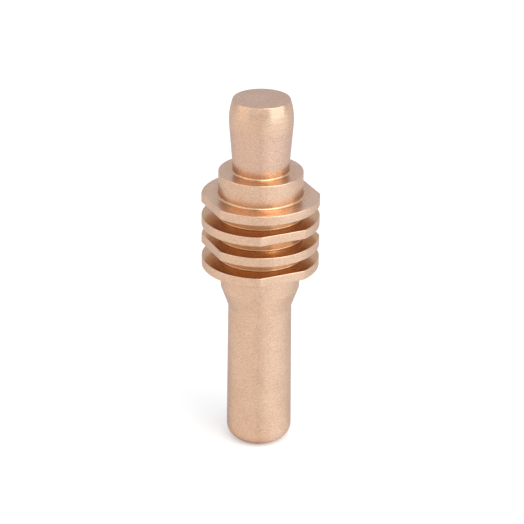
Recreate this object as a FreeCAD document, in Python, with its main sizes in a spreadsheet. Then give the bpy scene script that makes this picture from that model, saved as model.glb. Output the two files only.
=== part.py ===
import FreeCAD
import Part
import Sketcher
import os
from math import asin, hypot, radians

# Plasma torch electrode: a turned copper body with cooling fins and a pressed-in hafnium emitter.
# Units are millimetres. +Z runs up the turning axis, from the tip's face to the rear face.
# The flats on the lowest fin face -Y and +Y.

os.makedirs("parts", exist_ok=True)
doc = FreeCAD.newDocument("plasma_electrode")

# Driving dimensions
DIMENSIONS = {
    # tip and shank: the shank is slightly wider at the tip than at the cone
    "tip_diameter": 7.2,
    "tip_round": 1.6,
    "shank_diameter": 6.92,
    "shank_length": 16.3,
    "cone_length": 2.3,
    "cone_blend": 0.4,
    # finned cooling section: the grooves are a little shallower than the core below the fins
    "core_diameter": 8.57,
    "core_length": 2.55,
    "groove_diameter": 9.1,
    "groove_fillet": 0.22,
    "fin_diameter": 12.7,
    "fin_thickness": 1.05,
    "fin_gap": 1.325,
    "fin_count": 4,
    "fin_flat_depth": 0.53,
    "fin_edge": 0.15,
    # collar above the top fin
    "collar_diameter": 9.08,
    "collar_height": 2.66,
    "collar_fillet": 0.3,
    "collar_edge": 0.1,
    # rear spigot: the neck widens by its taper, in degrees a side, into a crown below the rear face
    "spigot_length": 8.08,
    "neck_taper": 4.6,
    "neck_fillet": 0.3,
    "crown_diameter": 6.86,
    "crown_radius": 7.0,
    "crown_height": 2.3,
    "face_edge": 0.15,
    # emitter slug and the blind bore that holds it
    "emitter_diameter": 1.6,
    "emitter_length": 3.0,
}

sheet = doc.addObject("Spreadsheet::Sheet", "sizes")
for row, (alias, number) in enumerate(DIMENSIONS.items(), start=1):
    sheet.set(f"A{row}", alias)
    sheet.set(f"B{row}", str(number))
    sheet.setAlias(f"B{row}", alias)
doc.recompute()

# Heights that several features share, from the tip's face up
CONE_TOP = "(sizes.shank_length + sizes.cone_length)"
FINS_BASE = f"({CONE_TOP} + sizes.core_length)"
FIN_PITCH = "(sizes.fin_thickness + sizes.fin_gap)"
FINS_TOP = f"({FINS_BASE} + sizes.fin_count * {FIN_PITCH} - sizes.fin_gap)"
COLLAR_TOP = f"({FINS_TOP} + sizes.collar_height)"
REAR_FACE = f"({COLLAR_TOP} + sizes.spigot_length)"
CROWN_WIDEST = f"({REAR_FACE} - sizes.crown_height)"
TAPER = "(sizes.neck_taper * 1 deg)"
CROWN_FOOT = f"({CROWN_WIDEST} - sizes.crown_radius * sin({TAPER}))"

# Radii and the distance from the axis to a fin's flat; the neck is as wide as its taper leaves it
TIP_R = "(sizes.tip_diameter / 2)"
SHANK_R = "(sizes.shank_diameter / 2)"
CORE_R = "(sizes.core_diameter / 2)"
FIN_R = "(sizes.fin_diameter / 2)"
FLAT_R = f"({FIN_R} - sizes.fin_flat_depth)"
GROOVE_R = "(sizes.groove_diameter / 2)"
COLLAR_R = "(sizes.collar_diameter / 2)"
CROWN_R = "(sizes.crown_diameter / 2)"
CROWN_FOOT_R = f"({CROWN_R} - sizes.crown_radius * (1 - cos({TAPER})))"
NECK_R = f"({CROWN_FOOT_R} - ({CROWN_FOOT} - {COLLAR_TOP}) * tan({TAPER}))"

ORIGIN = (-1, 1)
START, END, CENTRE = 1, 2, 3
MATCH = 1e-4


def value(expression):
    """The number that an expression over the sheet stands for."""
    number = sheet.evalExpression(expression)
    return float(getattr(number, "Value", number))


def plane_of(body, role):
    """One of the body's own origin planes or axes."""
    return next(feature for feature in body.Origin.OriginFeatures if feature.Role == role)


def sketch_on(body, role, name):
    sketch = body.newObject("Sketcher::SketchObject", name)
    sketch.AttachmentSupport = (plane_of(body, role), [""])
    sketch.MapMode = "FlatFace"
    return sketch


def dimension(sketch, kind, where, expression):
    """Adds a dimension and binds it to an expression over the sheet."""
    index = sketch.addConstraint(Sketcher.Constraint(kind, *where, value(expression)))
    sketch.setExpression(f"Constraints[{index}]", expression)


def place(sketch, geometry, end, across, up):
    """Fixes one end of a piece of geometry; a missing expression puts it on the sketch's own axis."""
    if across is None:
        sketch.addConstraint(Sketcher.Constraint("PointOnObject", geometry, end, -2))
    else:
        dimension(sketch, "DistanceX", (*ORIGIN, geometry, end), across)
    if up is None:
        sketch.addConstraint(Sketcher.Constraint("PointOnObject", geometry, end, -1))
    else:
        dimension(sketch, "DistanceY", (*ORIGIN, geometry, end), up)


def spot(across, up):
    return FreeCAD.Vector(value(across) if across else 0, value(up) if up else 0, 0)


def chain(sketch, corners):
    """Straight lines from corner to corner, each corner placed by two expressions."""
    first = sketch.GeometryCount
    for index, (here, there) in enumerate(zip(corners, corners[1:])):
        line = sketch.addGeometry(Part.LineSegment(spot(*here), spot(*there)))
        place(sketch, line, START, *here)
        if index:
            sketch.addConstraint(Sketcher.Constraint("Coincident", line - 1, END, line, START))
    return first, sketch.GeometryCount - 1


def rectangle(sketch, left, right, low, high):
    """A closed rectangle whose sides are placed by expressions."""
    corners = [(left, low), (right, low), (right, high), (left, high)]
    first, last = chain(sketch, corners + corners[:1])
    sketch.addConstraint(Sketcher.Constraint("Coincident", last, END, first, START))


def feature(body, kind, name, profile):
    made = body.newObject(f"PartDesign::{kind}", name)
    made.Profile = profile
    profile.Visibility = False
    return made


def repeat_up(body, base, name, length, occurrences):
    """Repeats a cut along the axis."""
    pattern = body.newObject("PartDesign::LinearPattern", name)
    pattern.Originals = [base]
    pattern.Direction = (plane_of(body, "Z_Axis"), [""])
    pattern.setExpression("Length", length)
    pattern.setExpression("Occurrences", occurrences)
    body.Tip = pattern
    doc.recompute()
    return pattern


def circles_at(shape, radius, height):
    """Names of the round edges of this radius about the axis at this height."""
    names = []
    for index, edge in enumerate(shape.Edges, start=1):
        curve = edge.Curve
        if not isinstance(curve, Part.Circle):
            continue
        on_axis = abs(curve.Center.x) < MATCH and abs(curve.Center.y) < MATCH
        if on_axis and abs(curve.Radius - radius) < MATCH and abs(curve.Center.z - height) < MATCH:
            names.append(f"Edge{index}")
    return names


def rims_at(shape, inner, height):
    """Names of the edges at this height whose middle lies no nearer the axis than inner."""
    names = []
    for index, edge in enumerate(shape.Edges, start=1):
        box = edge.BoundBox
        level = abs(box.ZMin - height) < MATCH and abs(box.ZMax - height) < MATCH
        middle = edge.valueAt((edge.FirstParameter + edge.LastParameter) / 2)
        if level and hypot(middle.x, middle.y) > inner - MATCH:
            names.append(f"Edge{index}")
    return names


def dress(body, kind, name, edges, expression):
    """A fillet or chamfer of one size on the named edges of the body as it stands."""
    base = body.Tip
    made = body.newObject(f"PartDesign::{kind}", name)
    made.Base = (base, edges)
    made.setExpression("Radius" if kind == "Fillet" else "Size", expression)
    doc.recompute()
    return made


# Copper body: the blank is revolved whole, with the fins still one solid band
copper = doc.addObject("PartDesign::Body", "copper_body")
outline = sketch_on(copper, "XZ_Plane", "turned_outline")
first_line, neck_line = chain(
    outline,
    [
        (None, None),
        (TIP_R, None),
        (SHANK_R, "sizes.shank_length"),
        (CORE_R, CONE_TOP),
        (CORE_R, FINS_BASE),
        (FIN_R, FINS_BASE),
        (FIN_R, FINS_TOP),
        (COLLAR_R, FINS_TOP),
        (COLLAR_R, COLLAR_TOP),
        (NECK_R, COLLAR_TOP),
        (CROWN_FOOT_R, CROWN_FOOT),
    ],
)

# The neck runs without a kink into the crown's arc, which ends at the rear face
crown_radius = value("sizes.crown_radius")
crown_inset = f"sizes.crown_radius - {CROWN_R}"
crown_centre = FreeCAD.Vector(-value(crown_inset), value(CROWN_WIDEST), 0)
crown_circle = Part.Circle(crown_centre, FreeCAD.Vector(0, 0, 1), crown_radius)
foot_turn = -radians(value("sizes.neck_taper"))
face_turn = asin(value("sizes.crown_height") / crown_radius)
crown_arc = outline.addGeometry(Part.ArcOfCircle(crown_circle, foot_turn, face_turn))
dimension(outline, "DistanceX", (crown_arc, CENTRE, *ORIGIN), crown_inset)
dimension(outline, "DistanceY", (*ORIGIN, crown_arc, CENTRE), CROWN_WIDEST)
dimension(outline, "Radius", (crown_arc,), "sizes.crown_radius")
outline.addConstraint(Sketcher.Constraint("Coincident", neck_line, END, crown_arc, START))
dimension(outline, "DistanceY", (*ORIGIN, neck_line, END), CROWN_FOOT)

# The rear face and the axis close the outline
face_corner = crown_circle.value(face_turn)
face_line = outline.addGeometry(Part.LineSegment(face_corner, spot(None, REAR_FACE)))
axis_line = outline.addGeometry(Part.LineSegment(spot(None, REAR_FACE), spot(None, None)))
outline.addConstraint(Sketcher.Constraint("Coincident", crown_arc, END, face_line, START))
outline.addConstraint(Sketcher.Constraint("Horizontal", face_line))
outline.addConstraint(Sketcher.Constraint("Coincident", face_line, END, axis_line, START))
outline.addConstraint(Sketcher.Constraint("Coincident", axis_line, END, first_line, START))
place(outline, axis_line, START, None, REAR_FACE)

blank = feature(copper, "Revolution", "turned_blank", outline)
blank.ReferenceAxis = (outline, ["V_Axis"])
blank.Angle = 360
doc.recompute()

# Grooves part the band into fins
groove_outline = sketch_on(copper, "XZ_Plane", "groove_outline")
rectangle(
    groove_outline,
    GROOVE_R,
    f"({FIN_R} + sizes.fin_gap)",
    f"({FINS_BASE} + sizes.fin_thickness)",
    f"({FINS_BASE} + {FIN_PITCH})",
)
groove = feature(copper, "Groove", "fin_groove", groove_outline)
groove.ReferenceAxis = (groove_outline, ["V_Axis"])
groove.Angle = 360
doc.recompute()
repeat_up(copper, groove, "fin_grooves", f"{FIN_PITCH} * (sizes.fin_count - 2)", "sizes.fin_count - 1")

# Flats: a cutter passes both sides of every other fin, and the fins between are cut a quarter turn round
for name, role, lowest, fins in (
    ("front_flats", "YZ_Plane", FINS_BASE, "floor((sizes.fin_count + 1) / 2)"),
    ("side_flats", "XZ_Plane", f"({FINS_BASE} + {FIN_PITCH})", "floor(sizes.fin_count / 2)"),
):
    passes = sketch_on(copper, role, f"{name}_outline")
    low = f"({lowest} - sizes.fin_gap / 4)"
    high = f"({lowest} + sizes.fin_thickness + sizes.fin_gap / 4)"
    rectangle(passes, FLAT_R, f"({FIN_R} + sizes.fin_gap)", low, high)
    rectangle(passes, f"-({FIN_R} + sizes.fin_gap)", f"-{FLAT_R}", low, high)
    flats = feature(copper, "Pocket", name, passes)
    flats.Midplane = True
    flats.setExpression("Length", "sizes.fin_diameter * 1.2")
    doc.recompute()
    repeat_up(copper, flats, f"{name}_up", f"2 * {FIN_PITCH} * ({fins} - 1)", fins)

# Emitter bore, blind: the cut runs as far below the tip's face as above it
bore_outline = sketch_on(copper, "XY_Plane", "bore_outline")
bore_radius = value("sizes.emitter_diameter / 2")
bore_circle = Part.Circle(FreeCAD.Vector(0, 0, 0), FreeCAD.Vector(0, 0, 1), bore_radius)
bore_edge = bore_outline.addGeometry(bore_circle)
bore_outline.addConstraint(Sketcher.Constraint("Coincident", bore_edge, CENTRE, *ORIGIN))
dimension(bore_outline, "Radius", (bore_edge,), "sizes.emitter_diameter / 2")
bore = feature(copper, "Pocket", "emitter_bore", bore_outline)
bore.Midplane = True
bore.setExpression("Length", "2 * sizes.emitter_length")
doc.recompute()

# The radius that the turning tool leaves in each inside corner
fin_bases = [value(f"{FINS_BASE} + {step} * {FIN_PITCH}") for step in range(DIMENSIONS["fin_count"])]
fin_tops = [base + value("sizes.fin_thickness") for base in fin_bases]
solid = copper.Tip.Shape
corners = circles_at(solid, value(CORE_R), fin_bases[0])
for height in fin_bases[1:] + fin_tops[:-1]:
    corners += circles_at(solid, value(GROOVE_R), height)
dress(copper, "Fillet", "groove_fillets", corners, "sizes.groove_fillet")
collar_foot = circles_at(copper.Tip.Shape, value(COLLAR_R), value(FINS_TOP))
dress(copper, "Fillet", "collar_foot", collar_foot, "sizes.collar_fillet")
neck_foot = circles_at(copper.Tip.Shape, value(NECK_R), value(COLLAR_TOP))
dress(copper, "Fillet", "neck_foot", neck_foot, "sizes.neck_fillet")

# The tip is rounded and the ends of the cone are softened
dress(copper, "Fillet", "tip_rounding", circles_at(copper.Tip.Shape, value(TIP_R), 0), "sizes.tip_round")
cone_ends = circles_at(copper.Tip.Shape, value(SHANK_R), value("sizes.shank_length"))
cone_ends += circles_at(copper.Tip.Shape, value(CORE_R), value(CONE_TOP))
dress(copper, "Fillet", "cone_blends", cone_ends, "sizes.cone_blend")

# Broken edges on the fins, the collar and the rear face
rims = []
for height in fin_bases + fin_tops:
    rims += rims_at(copper.Tip.Shape, value(FLAT_R), height)
dress(copper, "Chamfer", "fin_edges", rims, "sizes.fin_edge")
collar_rim = circles_at(copper.Tip.Shape, value(COLLAR_R), value(COLLAR_TOP))
dress(copper, "Chamfer", "collar_rim", collar_rim, "sizes.collar_edge")
rear_rim = rims_at(copper.Tip.Shape, value(NECK_R) / 2, value(REAR_FACE))
dress(copper, "Chamfer", "rear_rim", rear_rim, "sizes.face_edge")

# Emitter: a hafnium slug that fills its bore and ends flush with the tip's face
emitter = doc.addObject("PartDesign::Body", "hafnium_emitter")
slug_outline = sketch_on(emitter, "XY_Plane", "slug_outline")
slug_edge = slug_outline.addGeometry(bore_circle)
slug_outline.addConstraint(Sketcher.Constraint("Coincident", slug_edge, CENTRE, *ORIGIN))
dimension(slug_outline, "Radius", (slug_edge,), "sizes.emitter_diameter / 2")
slug = feature(emitter, "Pad", "slug", slug_outline)
slug.setExpression("Length", "sizes.emitter_length")
doc.recompute()

# Every feature has to stand, and every sub-part has to be one valid solid
for item in doc.Objects:
    if "Invalid" in item.State or "Error" in item.State:
        raise RuntimeError(f"{item.Name} failed: {item.State}")
for body in (copper, emitter):
    shape = body.Shape
    if shape.isNull() or not shape.isValid() or len(shape.Solids) != 1:
        raise RuntimeError(f"{body.Label} is not one valid solid")
    box = shape.BoundBox
    print(f"{body.Label}: volume {shape.Volume:.2f} mm3, z {box.ZMin:.3f} to {box.ZMax:.3f} mm")
    shape.exportStep(f"parts/{body.Label}.step")
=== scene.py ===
# %% [markdown]
# A plasma torch electrode is the part of a cutting torch that the arc burns on. It is one turning in
# copper: a round-nosed shank that holds a hafnium slug in its tip, four fins that shed heat into the
# gas, a collar, and a crowned spigot that plugs into the torch. Its exact solids are loaded first,
# because they fix every size and place, and the pieces made here only dress them.

# %% Load the frame
import math

import bmesh
import bpy
from mathutils import Matrix, Vector


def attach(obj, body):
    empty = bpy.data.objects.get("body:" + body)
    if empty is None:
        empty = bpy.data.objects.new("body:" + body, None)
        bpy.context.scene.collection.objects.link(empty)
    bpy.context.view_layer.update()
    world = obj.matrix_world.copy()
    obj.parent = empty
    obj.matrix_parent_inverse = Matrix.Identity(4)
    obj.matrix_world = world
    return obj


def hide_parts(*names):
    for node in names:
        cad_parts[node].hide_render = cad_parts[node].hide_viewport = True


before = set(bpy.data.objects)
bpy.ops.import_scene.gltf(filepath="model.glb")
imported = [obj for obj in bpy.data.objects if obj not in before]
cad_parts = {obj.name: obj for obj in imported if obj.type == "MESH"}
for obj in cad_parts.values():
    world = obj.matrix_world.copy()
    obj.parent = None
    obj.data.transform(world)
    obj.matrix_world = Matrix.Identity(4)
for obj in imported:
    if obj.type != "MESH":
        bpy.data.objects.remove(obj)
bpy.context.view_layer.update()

print("nodes:", sorted(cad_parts))

# %% [markdown]
# The photograph was taken with a long lens from a little above, so upright edges stay nearly parallel
# and the round faces show as flat ovals. A camera is placed by the direction it looks from, its
# distance and its lens. Its own three axes are written out here, which keeps it clear what each
# number does, and then the small lean of the picture is added as a turn about the line of sight.

# %% Camera
MM = 0.001
VIEW_AZIMUTH = math.radians(-24.4)
VIEW_ELEVATION = math.radians(24.89)
VIEW_DISTANCE = 219.4 * MM
VIEW_TARGET = Vector((0, 0, 21.23 * MM))
VIEW_ASIDE = 0.20 * MM
VIEW_LEAN = math.radians(0.55)
SENSOR_WIDTH = 36.0
LENS = 139.1


def direction(azimuth, elevation):
    """Unit vector from the object towards something seen at this azimuth and elevation."""
    level = math.cos(elevation)
    return Vector((math.sin(azimuth) * level, -math.cos(azimuth) * level, math.sin(elevation)))


back = direction(VIEW_AZIMUTH, VIEW_ELEVATION)
right = Vector((math.cos(VIEW_AZIMUTH), math.sin(VIEW_AZIMUTH), 0))
up = back.cross(right)
stand = VIEW_TARGET + back * VIEW_DISTANCE + right * VIEW_ASIDE

camera_data = bpy.data.cameras.new("camera")
camera_data.lens = LENS
camera_data.sensor_width = SENSOR_WIDTH
camera_data.sensor_fit = "HORIZONTAL"
camera_data.clip_start = 0.01
camera_data.dof.use_dof = False
camera = bpy.data.objects.new("camera", camera_data)
axes = Matrix((right, up, back)).transposed().to_4x4()
camera.matrix_world = Matrix.Translation(stand) @ axes @ Matrix.Rotation(VIEW_LEAN, 4, "Z")
bpy.context.scene.collection.objects.link(camera)
bpy.context.scene.camera = camera
print("camera stands at", [round(value / MM, 1) for value in stand], "mm")

# %% [markdown]
# A lathe makes this body by moving a tool along one outline while the bar turns, so the mesh is made
# the same way: half of the outline is drawn as a thin line of corners, and spun about the axis.
# Every corner of a real turning is rounded or broken a little, and it is these small rounds that
# catch the light, so each corner is listed with how far its round reaches along its two sides.

# %% Sizes of the copper body
TIP_RADIUS = 3.6
SHANK_RADIUS = 3.46
CORE_RADIUS = 4.285
GROOVE_RADIUS = 4.55
FIN_RADIUS = 6.35
COLLAR_RADIUS = 4.54
CROWN_WIDEST = 3.43
SLUG_RADIUS = 0.8
SLUG_LENGTH = 3.0

CONE_BASE = 16.3
CONE_TOP = 18.6
FINS_BASE = 21.15
FIN_THICKNESS = 1.05
FIN_PITCH = 2.375
FIN_COUNT = 4
FINS_TOP = FINS_BASE + (FIN_COUNT - 1) * FIN_PITCH + FIN_THICKNESS
COLLAR_TOP = FINS_TOP + 2.66
REAR_FACE = COLLAR_TOP + 8.08

NECK_TAPER = math.radians(4.6)
CROWN_RADIUS = 7.0
CROWN_HEIGHT = 2.3

TIP_ROUND = 1.6
CONE_ROUND = 0.08
COLLAR_FILLET = 0.22
GROOVE_FILLET = 0.13
FIN_EDGE = 0.09
COLLAR_EDGE = 0.1
FACE_EDGE = 0.05
BORE_EDGE = 0.03
SHARP = 0.0
# The painted shade at the two inside corners fades out over this reach.
SHADE_REACH = 1.1
print("rear face at", round(REAR_FACE, 3), "mm")

# %% Corners below the neck, each with its radius, height and round
corners = [
    (0, SLUG_LENGTH, SHARP),
    (SLUG_RADIUS, SLUG_LENGTH, SHARP),
    (SLUG_RADIUS, 0, BORE_EDGE),
    (TIP_RADIUS, 0, TIP_ROUND),
    (SHANK_RADIUS, CONE_BASE, CONE_ROUND),
    (CORE_RADIUS, CONE_TOP, CONE_ROUND),
]
for fin in range(FIN_COUNT):
    base = FINS_BASE + fin * FIN_PITCH
    top = base + FIN_THICKNESS
    corners += [
        (GROOVE_RADIUS if fin else CORE_RADIUS, base, GROOVE_FILLET),
        (FIN_RADIUS, base, FIN_EDGE),
        (FIN_RADIUS, top, FIN_EDGE),
        (GROOVE_RADIUS, top, GROOVE_FILLET),
    ]
corners[-1:] = [
    (COLLAR_RADIUS + SHADE_REACH, FINS_TOP, SHARP),
    (COLLAR_RADIUS, FINS_TOP, COLLAR_FILLET),
    (COLLAR_RADIUS, FINS_TOP + SHADE_REACH, SHARP),
    (COLLAR_RADIUS, COLLAR_TOP, COLLAR_EDGE),
]
print("corners below the neck:", len(corners))

# %% [markdown]
# The neck widens a little on its way up and runs into the crown's arc without a kink, so the arc
# starts where its own tangent leans as much as the neck does. That fixes the neck's foot as well.
# Spinning the last point of the line about the arc's centre then draws the arc exactly.

# %% Draw the outline
ARC_STEP = math.radians(1.5)
ROUND_SEGMENTS = 6
ACROSS = Vector((0, -1, 0))


def point(radius, height):
    """A point of the half outline, given in millimetres."""
    return Vector((radius * MM, 0, height * MM))


def draw_to(mesh, last, radius, height):
    """Adds one corner to the line, with an edge from the corner before it."""
    vert = mesh.verts.new(point(radius, height))
    if last is not None:
        mesh.edges.new((last, vert))
    return vert


def draw_arc(mesh, last, centre, angle):
    """Carries the line's last point round a centre, and returns the arc's other end."""
    steps = math.ceil(abs(angle) / ARC_STEP)
    spun = bmesh.ops.spin(mesh, geom=[last], cent=centre, axis=ACROSS, angle=angle, steps=steps)
    return next(item for item in spun["geom_last"] if isinstance(item, bmesh.types.BMVert))


crown_centre = point(CROWN_WIDEST - CROWN_RADIUS, REAR_FACE - CROWN_HEIGHT)
crown_foot = CROWN_WIDEST - CROWN_RADIUS * (1 - math.cos(NECK_TAPER))
crown_foot_height = REAR_FACE - CROWN_HEIGHT - CROWN_RADIUS * math.sin(NECK_TAPER)
neck_foot = crown_foot - (crown_foot_height - COLLAR_TOP) * math.tan(NECK_TAPER)
corners += [
    (neck_foot + SHADE_REACH, COLLAR_TOP, SHARP),
    (neck_foot, COLLAR_TOP, COLLAR_FILLET),
    (neck_foot + SHADE_REACH * math.tan(NECK_TAPER), COLLAR_TOP + SHADE_REACH, SHARP),
]
crown_angle = NECK_TAPER + math.asin(CROWN_HEIGHT / CROWN_RADIUS)

outline = bmesh.new()
rounds = {}
last = None
for radius, height, size in corners:
    last = draw_to(outline, last, radius, height)
    rounds.setdefault(size, []).append(last)
last = draw_to(outline, last, crown_foot, crown_foot_height)
last = draw_arc(outline, last, crown_centre, crown_angle)
rounds.setdefault(FACE_EDGE, []).append(last)
draw_to(outline, last, 0, REAR_FACE)

del rounds[SHARP]
for size, group in rounds.items():
    bmesh.ops.bevel(
        outline, geom=group, offset=size * MM, offset_type="OFFSET", affect="VERTICES",
        segments=2 * ROUND_SEGMENTS if size == TIP_ROUND else ROUND_SEGMENTS, profile=0.5, material=-1,
    )
print("neck foot:", round(neck_foot, 3), "mm from the axis, outline points:", len(outline.verts))

# %% [markdown]
# The outside of the body has dulled to a pale satin. The grooves between the fins and the two inside
# corners above them are painted a deeper orange: painted shade and warm reflection, for the light
# that bounces between the copper walls there. The outline's points are marked for that now, one
# number to each, and the spin carries the mark round. A groove gets the full mark. A corner gets less,
# and there the mark fades out along both sides, over the reach that was set with the sizes.

# %% Mark the painted groove and corner shade
SHADE_ATTRIBUTE = "painted_groove_shade"
GROOVE_SHADE = 1.0
CORNER_SHADE = 0.7
HAIR = 0.001
inside_corners = (point(COLLAR_RADIUS, FINS_TOP), point(neck_foot, COLLAR_TOP))
painted_shade = outline.verts.layers.float.new(SHADE_ATTRIBUTE)
for vert in outline.verts:
    height = vert.co.z / MM
    if FINS_BASE + FIN_THICKNESS - HAIR < height < FINS_TOP - FIN_THICKNESS + HAIR:
        vert[painted_shade] = GROOVE_SHADE if vert.co.x / MM < FIN_RADIUS - FIN_EDGE + HAIR else 0.0
    else:
        away = min((vert.co - corner).length for corner in inside_corners) / MM
        nearness = (SHADE_REACH - away) / (SHADE_REACH - COLLAR_FILLET)
        vert[painted_shade] = CORNER_SHADE * min(max(nearness, 0), 1)
print("fresh points:", sum(vert[painted_shade] > 0 for vert in outline.verts))

# %% [markdown]
# One full spin closes the body. The points on the axis come out many times over, so doubles are
# merged, and the normals are recalculated after that. One degree to a step keeps the rims round and
# puts an edge within a hair of where each flat meets its rim.

# %% Spin the body
TURN_STEPS = 360
MERGE = 1e-7


def turn(mesh, steps=TURN_STEPS):
    """Spins an outline about the axis into a closed skin whose faces point outwards."""
    line = mesh.verts[:] + mesh.edges[:]
    bmesh.ops.spin(
        mesh, geom=line, cent=(0, 0, 0), axis=(0, 0, 1), angle=2 * math.pi, steps=steps, use_merge=True,
    )
    bmesh.ops.remove_doubles(mesh, verts=mesh.verts, dist=MERGE)
    bmesh.ops.recalc_face_normals(mesh, faces=mesh.faces)


turn(outline)
print("faces:", len(outline.faces), "open edges:", sum(not edge.is_manifold for edge in outline.edges))

# %% [markdown]
# After turning, a milling cutter passes each fin on two opposite sides. The passes on one fin lie a
# quarter turn round from those on its neighbours, so gas winds its way along the body. The cutter
# stops a fin short of a plane, and that is all that has to be told to the mesh: each rim point that
# lies beyond the plane slides straight back to it. The broken edges slide with it and keep their shape.

# %% Mill the flats
FLAT_DEPTH = 0.53
QUARTER_TURN = math.radians(90)
SLACK = 0.01
moved = 0
for fin in range(FIN_COUNT):
    base = (FINS_BASE + fin * FIN_PITCH - SLACK) * MM
    top = base + (FIN_THICKNESS + 2 * SLACK) * MM
    facing = direction(QUARTER_TURN if fin % 2 else 0, 0)
    for vert in outline.verts:
        radius = vert.co.xy.length
        if base < vert.co.z < top and radius > (FIN_RADIUS - FIN_EDGE - SLACK) * MM:
            reach = vert.co.dot(facing)
            beyond = abs(reach) - (radius - FLAT_DEPTH * MM)
            if beyond > 0:
                vert.co -= facing * math.copysign(beyond, reach)
                moved += 1
print("rim points moved:", moved)

# %% [markdown]
# Smooth shading blends the light across each edge. On a machined part a flat face has to stay flat in
# its reflections right up to the round beside it, so a Weighted Normal modifier lets the large faces
# set the direction and leaves the bend to the small rounds.

# %% Finish the copper body
SHARP_ANGLE = math.radians(17)
FACE_WEIGHT = 100


def finish_piece(name, mesh, node):
    """Turns a bmesh into a smooth-shaded piece that stands for one solid of the frame."""
    data = bpy.data.meshes.new(name)
    mesh.to_mesh(data)
    mesh.free()
    data.shade_smooth()
    data.set_sharp_from_angle(angle=SHARP_ANGLE)
    piece = bpy.data.objects.new(name, data)
    bpy.context.scene.collection.objects.link(piece)
    weighted = piece.modifiers.new("even_normals", "WEIGHTED_NORMAL")
    weighted.keep_sharp = True
    weighted.weight = FACE_WEIGHT
    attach(piece, "root")
    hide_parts(node)
    return piece


copper_turning = finish_piece("copper_turning", outline, "copper_body")
print(copper_turning.name, "faces:", len(copper_turning.data.polygons))

# %% [markdown]
# The slug is a short length of hafnium wire, pressed into a blind bore and faced off with the tip, so
# only its round end shows, and only from below. It is turned in the same way as the body.

# %% Hafnium slug
SLUG_STEPS = 96
slug_outline = bmesh.new()
last = None
for radius, height in ((0, 0), (SLUG_RADIUS, 0), (SLUG_RADIUS, SLUG_LENGTH), (0, SLUG_LENGTH)):
    last = draw_to(slug_outline, last, radius, height)
turn(slug_outline, SLUG_STEPS)
slug = finish_piece("hafnium_slug", slug_outline, "hafnium_emitter")
print(slug.name, "faces:", len(slug.data.polygons))

# %% [markdown]
# Colours are written as the screen shows them, in hex, and the renderer needs them linear. Materials
# are nets of nodes, so one small function adds a node, fills in its settings and joins its inputs.


# %% Colour and node helpers
def linear(code):
    """Linear red, green and blue of an sRGB hex colour."""
    parts = [int(code[start:start + 2], 16) / 255 for start in (0, 2, 4)]
    return [part / 12.92 if part <= 0.04045 else ((part + 0.055) / 1.055) ** 2.4 for part in parts]


def add(tree, kind, inputs=(), **settings):
    """Adds a node. Inputs are (socket, value) pairs, where a value may be another node's output."""
    node = tree.nodes.new("ShaderNode" + kind)
    for name, setting in settings.items():
        setattr(node, name, setting)
    for socket, value in inputs:
        if isinstance(value, bpy.types.NodeSocket):
            tree.links.new(value, node.inputs[socket])
        elif isinstance(value, str):
            node.inputs[socket].default_value = (*linear(value), 1)
        else:
            node.inputs[socket].default_value = value
    return node


def new_material(name):
    """An empty material with its output node."""
    material = bpy.data.materials.new(name)
    material.use_nodes = True
    material.node_tree.nodes.clear()
    return material, material.node_tree, add(material.node_tree, "OutputMaterial")


print("half grey on screen:", [round(part, 3) for part in linear("808080")])

# %% [markdown]
# Bare copper, turned with a fine feed and left unpolished. The outside is a pale satin, the neck a
# shade duller, and the marked grooves and corners are painted a deeper orange, as painted shade and
# warm reflection from the copper walls round them, and are a little smoother. Rings from the tool lie
# round the axis on the walls and on the level faces alike, so their noise is read at a point's distance
# from the axis and its height, and hardly changes on the way round. They stand out on the crown and
# round the cone. A grain that has no direction adds the speckle of a tumbled skin. The real feed is about
# 0.05 mm, half a pixel here, so rings and grain are drawn two to three times as coarse, to show at all.

# %% Turned copper
SATIN_DARK, SATIN_LIGHT = "D5AF94", "DDB99F"
NECK_TONE = "D5B09A"
# A deeper orange painted into the grooves and inside corners, as painted shade and warm reflection.
PAINTED_SHADE_TONE = "D1A985"
EDGE_TINT = "E6DCDC"
RING_WIDTH = 0.16
RING_DRIFT = 0.04
GRAIN_WIDTH = 0.11
CLOUD_WIDTH = 3.0
BUMP_DEPTH = 0.006


def between(tree, value, low, high, to_low, to_high):
    """A value stretched from one range to another and held at its ends."""
    return add(tree, "MapRange", [
        ("Value", value), ("From Min", low), ("From Max", high), ("To Min", to_low), ("To Max", to_high),
    ]).outputs["Result"]


def blend(tree, factor, first, second):
    """A colour between two others."""
    mix = add(tree, "Mix", [("Factor", factor)], data_type="RGBA")
    for socket, value in (("A", first), ("B", second)):
        target = next(item for item in mix.inputs if item.name == socket and item.type == "RGBA")
        if isinstance(value, str):
            target.default_value = (*linear(value), 1)
        else:
            tree.links.new(value, target)
    return next(item for item in mix.outputs if item.type == "RGBA")


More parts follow.
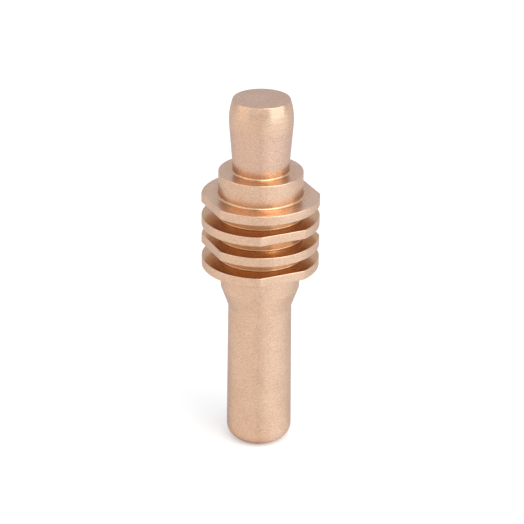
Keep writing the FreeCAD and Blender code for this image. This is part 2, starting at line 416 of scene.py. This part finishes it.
def turned_copper():
    material, tree, output = new_material("turned_copper")
    place = add(tree, "TexCoord").outputs["Object"]
    painted_groove_shade = add(tree, "Attribute", attribute_name=SHADE_ATTRIBUTE).outputs["Fac"]
    parts = add(tree, "SeparateXYZ", [(0, place)]).outputs
    off_axis = add(tree, "CombineXYZ", [("X", parts["X"]), ("Y", parts["Y"])]).outputs[0]
    radius = add(tree, "VectorMath", [(0, off_axis)], operation="LENGTH").outputs["Value"]
    around = add(tree, "Math", [(0, parts["X"]), (1, RING_DRIFT)], operation="MULTIPLY").outputs[0]
    ring_place = add(tree, "CombineXYZ", [("X", radius), ("Y", parts["Z"]), ("Z", around)]).outputs[0]
    rings = add(tree, "TexNoise", [
        ("Vector", ring_place), ("Scale", 1 / (RING_WIDTH * MM)), ("Detail", 2.0), ("Roughness", 0.6),
    ]).outputs["Fac"]
    grain = add(tree, "TexNoise", [
        ("Vector", place), ("Scale", 1 / (GRAIN_WIDTH * MM)), ("Detail", 2.0), ("Roughness", 0.6),
    ]).outputs["Fac"]
    cloud = add(tree, "TexNoise", [
        ("Vector", place), ("Scale", 1 / (CLOUD_WIDTH * MM)), ("Detail", 4.0), ("Roughness", 0.55),
    ]).outputs["Fac"]
    satin = blend(tree, between(tree, cloud, 0.3, 0.7, 0, 1), SATIN_DARK, SATIN_LIGHT)
    # A band up the neck is given a duller tone.
    above = between(tree, parts["Z"], (COLLAR_TOP + 0.4) * MM, (COLLAR_TOP + 1.2) * MM, 0, 1)
    below = between(tree, parts["Z"], (crown_foot_height - 0.4) * MM, crown_foot_height * MM, 1, 0)
    on_neck = add(tree, "Math", [(0, above), (1, below)], operation="MULTIPLY").outputs[0]
    neck_dulled = blend(tree, on_neck, satin, NECK_TONE)
    # The marked grooves and corners take the deeper orange of the painted shade and reflection.
    tone = blend(tree, painted_groove_shade, neck_dulled, PAINTED_SHADE_TONE)
    speck = between(tree, grain, 0.25, 0.75, 0.72, 1.30)
    line = between(tree, rings, 0.3, 0.7, 0.98, 1.02)
    fleck = add(tree, "Math", [(0, speck), (1, line)], operation="MULTIPLY").outputs[0]
    colour = add(tree, "VectorMath", [(0, tone), (1, fleck)], operation="MULTIPLY").outputs[0]
    satin_rough = between(tree, rings, 0.3, 0.7, 0.24, 0.32)
    smoother = between(tree, painted_groove_shade, 0, 1, 1.0, 0.85)
    rough = add(tree, "Math", [(0, satin_rough), (1, smoother)], operation="MULTIPLY").outputs[0]
    on_crown = between(tree, parts["Z"], (crown_foot_height - 0.2) * MM, crown_foot_height * MM, 0, 1)
    over_shank = between(tree, parts["Z"], (CONE_BASE - 2.0) * MM, (CONE_BASE - 0.8) * MM, 0, 1)
    under_fins = between(tree, parts["Z"], (FINS_BASE - 0.2) * MM, FINS_BASE * MM, 1, 0)
    on_cone = add(tree, "Math", [(0, over_shank), (1, under_fins)], operation="MULTIPLY").outputs[0]
    ringed = add(tree, "Math", [(0, on_crown), (1, on_cone)], operation="MAXIMUM").outputs[0]
    ring_strength = between(tree, ringed, 0, 1, 0.08, 0.5)
    ring_bump = add(tree, "Bump", [
        ("Height", rings), ("Distance", BUMP_DEPTH * MM), ("Strength", ring_strength),
    ]).outputs["Normal"]
    bump = add(tree, "Bump", [
        ("Height", grain), ("Distance", BUMP_DEPTH * MM), ("Strength", 0.25), ("Normal", ring_bump),
    ]).outputs["Normal"]
    metal = add(tree, "BsdfPrincipled", [
        ("Base Color", colour), ("Metallic", 1.0), ("Roughness", rough), ("Normal", bump),
        ("Specular Tint", EDGE_TINT),
    ])
    tree.links.new(metal.outputs[0], output.inputs["Surface"])
    return material


copper_turning.data.materials.append(turned_copper())
print("material:", copper_turning.data.materials[0].name)

# %% [markdown]
# Hafnium is a steel-grey metal, harder and duller than the copper round it. The facing cut that made
# it flush leaves rings about the axis, a little coarser than those on the copper.


# %% Faced hafnium
FACING_DARK, FACING_LIGHT = "8E8E93", "A9A9AC"
FACING_WIDTH = 0.1
FACING_DEPTH = 0.005


def faced_hafnium():
    material, tree, output = new_material("faced_hafnium")
    place = add(tree, "TexCoord").outputs["Object"]
    parts = add(tree, "SeparateXYZ", [(0, place)]).outputs
    off_axis = add(tree, "CombineXYZ", [("X", parts["X"]), ("Y", parts["Y"])]).outputs[0]
    radius = add(tree, "VectorMath", [(0, off_axis)], operation="LENGTH").outputs["Value"]
    ring_place = add(tree, "CombineXYZ", [("X", radius), ("Y", parts["Z"])]).outputs[0]
    rings = add(tree, "TexNoise", [
        ("Vector", ring_place), ("Scale", 1 / (FACING_WIDTH * MM)), ("Detail", 2.0),
    ]).outputs["Fac"]
    tone = blend(tree, between(tree, rings, 0.3, 0.7, 0, 1), FACING_DARK, FACING_LIGHT)
    bump = add(tree, "Bump", [
        ("Height", rings), ("Distance", FACING_DEPTH * MM), ("Strength", 0.6),
    ]).outputs["Normal"]
    metal = add(tree, "BsdfPrincipled", [
        ("Base Color", tone), ("Metallic", 1.0), ("Roughness", 0.4), ("Normal", bump),
    ])
    tree.links.new(metal.outputs[0], output.inputs["Surface"])
    return material


slug.data.materials.append(faced_hafnium())
print("material:", slug.data.materials[0].name)

# %% [markdown]
# The electrode stands on a sheet of white card that fills the view. The card is lit like everything
# else, so it takes the soft shadow, and a faint glow of its own lifts the open card to pure white for
# the camera. Upright walls mirror this card all the way round, and on a photographer's table it is
# never even: brighter and cooler towards the lamp on the right, dark in a narrow stripe straight ahead
# where the camera stands, and weaker behind. A ramp gives mirrored rays that unevenness, read by the
# direction round the object. Neither glow lights anything by itself.

# %% Floor
FLOOR_HALF = 0.9
CARD_TONE = "D3D3D3"
GLOW = 0.29
CARD_MIRRORED = (
    (-180, (0.02, 0.08, 0.14)),
    (-115, (0.07, 0.11, 0.15)),
    (-90, (0.13, 0.13, 0.13)),
    (-8, (0.12, 0.12, 0.12)),
    (-3, (0.0, 0.0, 0.0)),
    (1, (0.0, 0.0, 0.0)),
    (5, (0.15, 0.15, 0.15)),
    (40, (0.29, 0.36, 0.41)),
    (80, (0.21, 0.27, 0.32)),
    (110, (0.07, 0.13, 0.18)),
    (180, (0.02, 0.08, 0.14)),
)
card = bmesh.new()
bmesh.ops.create_grid(card, x_segments=1, y_segments=1, size=FLOOR_HALF)
floor_data = bpy.data.meshes.new("floor")
card.to_mesh(floor_data)
card.free()
floor = bpy.data.objects.new("floor", floor_data)
bpy.context.scene.collection.objects.link(floor)

floor_material, tree, output = new_material("white_card")
place = add(tree, "TexCoord").outputs["Object"]
ahead = direction(VIEW_AZIMUTH, 0)
side = add(tree, "VectorMath", [(0, place), (1, right)], operation="DOT_PRODUCT").outputs["Value"]
front = add(tree, "VectorMath", [(0, place), (1, ahead)], operation="DOT_PRODUCT").outputs["Value"]
bearing = add(tree, "Math", [(0, side), (1, front)], operation="ARCTAN2").outputs[0]
mirrored = add(tree, "ValToRGB", [("Fac", between(tree, bearing, -math.pi, math.pi, 0, 1))])
ramp = mirrored.color_ramp
while len(ramp.elements) < len(CARD_MIRRORED):
    ramp.elements.new(1.0)
for stop, (degrees, shade) in zip(ramp.elements, CARD_MIRRORED):
    stop.position = degrees / 360 + 0.5
    stop.color = (*shade, 1)
ray = add(tree, "LightPath").outputs
by_metal = add(tree, "Math", [
    (0, ray["Is Glossy Ray"]), (1, ray["Is Transmission Ray"]),
], operation="MAXIMUM").outputs[0]
for_metal = add(tree, "Emission", [("Color", mirrored.outputs["Color"]), ("Strength", by_metal)]).outputs[0]
by_eye = add(tree, "Math", [(0, ray["Is Camera Ray"]), (1, GLOW)], operation="MULTIPLY").outputs[0]
for_eye = add(tree, "Emission", [("Color", "FFFFFF"), ("Strength", by_eye)]).outputs[0]
glow = add(tree, "AddShader", [(0, for_eye), (1, for_metal)]).outputs[0]
white = add(tree, "BsdfDiffuse", [("Color", CARD_TONE)]).outputs[0]
both = add(tree, "AddShader", [(0, white), (1, glow)]).outputs[0]
tree.links.new(both, output.inputs["Surface"])
floor_data.materials.append(floor_material)
print("floor:", 2 * FLOOR_HALF, "m square")

# %% [markdown]
# Soft light comes from the whole room and from a few large panels. Each panel is given by the
# direction it stands in, measured round from the camera, and by how bright its face looks, because
# that is what a metal mirrors. The power that Blender asks for follows from brightness and area.
# Upright walls mirror the card, level faces mirror the room behind, and the broken edges and fillets
# mirror what hangs above the camera. The key is a sun with a wide disc, high on the right, that leaves
# the small soft shadow at the left of the foot. The crown leans back far enough to look over the
# card's edge, so the tinted panels give it a cool highlight on the right and a warm left side.

# %% Lamps and room
ROOM = (0.76, 0.79, 0.83)
PANEL_DISTANCE = 0.5


def panel(name, round_right, elevation, width, height, brightness, tint):
    """A flat lamp that faces the middle of the object."""
    data = bpy.data.lights.new(name, "AREA")
    data.shape = "RECTANGLE"
    data.size = width
    data.size_y = height
    data.energy = brightness * math.pi * width * height
    data.color = tint
    lamp = bpy.data.objects.new(name, data)
    away = direction(VIEW_AZIMUTH + math.radians(round_right), math.radians(elevation))
    lamp.location = VIEW_TARGET + away * PANEL_DISTANCE
    lamp.rotation_euler = away.to_track_quat("Z", "Y").to_euler()
    bpy.context.scene.collection.objects.link(lamp)
    return lamp


def sun(name, round_right, elevation, width, strength, tint):
    """A lamp so far off that it lights the whole card evenly; its width is an angle."""
    data = bpy.data.lights.new(name, "SUN")
    data.angle = math.radians(width)
    data.energy = strength
    data.color = tint
    lamp = bpy.data.objects.new(name, data)
    away = direction(VIEW_AZIMUTH + math.radians(round_right), math.radians(elevation))
    lamp.rotation_euler = away.to_track_quat("Z", "Y").to_euler()
    bpy.context.scene.collection.objects.link(lamp)
    return lamp


lamps = [
    sun("key", 31, 54, 44, 1.25, (1.0, 0.95, 0.86)),
    panel("top_left_panel", -62, 54, 0.4, 0.24, 0.8, (1.0, 0.88, 0.72)),
    panel("top_right_panel", 78, 52, 0.4, 0.24, 1.0, (1.0, 0.92, 0.80)),
    panel("front_panel", -12, 28, 0.6, 0.36, 0.28, (1.0, 0.88, 0.72)),
    panel("left_panel", -72, 20, 0.5, 0.44, 0.46, (1.0, 0.88, 0.72)),
    panel("right_panel", 62, 20, 0.6, 0.40, 1.25, (0.78, 0.94, 1.0)),
    panel("back_panel", 180, 28, 0.9, 0.42, 0.16, (0.20, 0.55, 1.0)),
]
world = bpy.data.worlds.new("room")
world.use_nodes = True
world.node_tree.nodes["Background"].inputs["Color"].default_value = (*ROOM, 1)
bpy.context.scene.world = world
print("lamps:", [item.name for item in lamps])

# %% [markdown]
# The view transform is set to Standard, so that a colour renders as it is written.

# %% Finish
bpy.context.scene.view_settings.view_transform = "Standard"
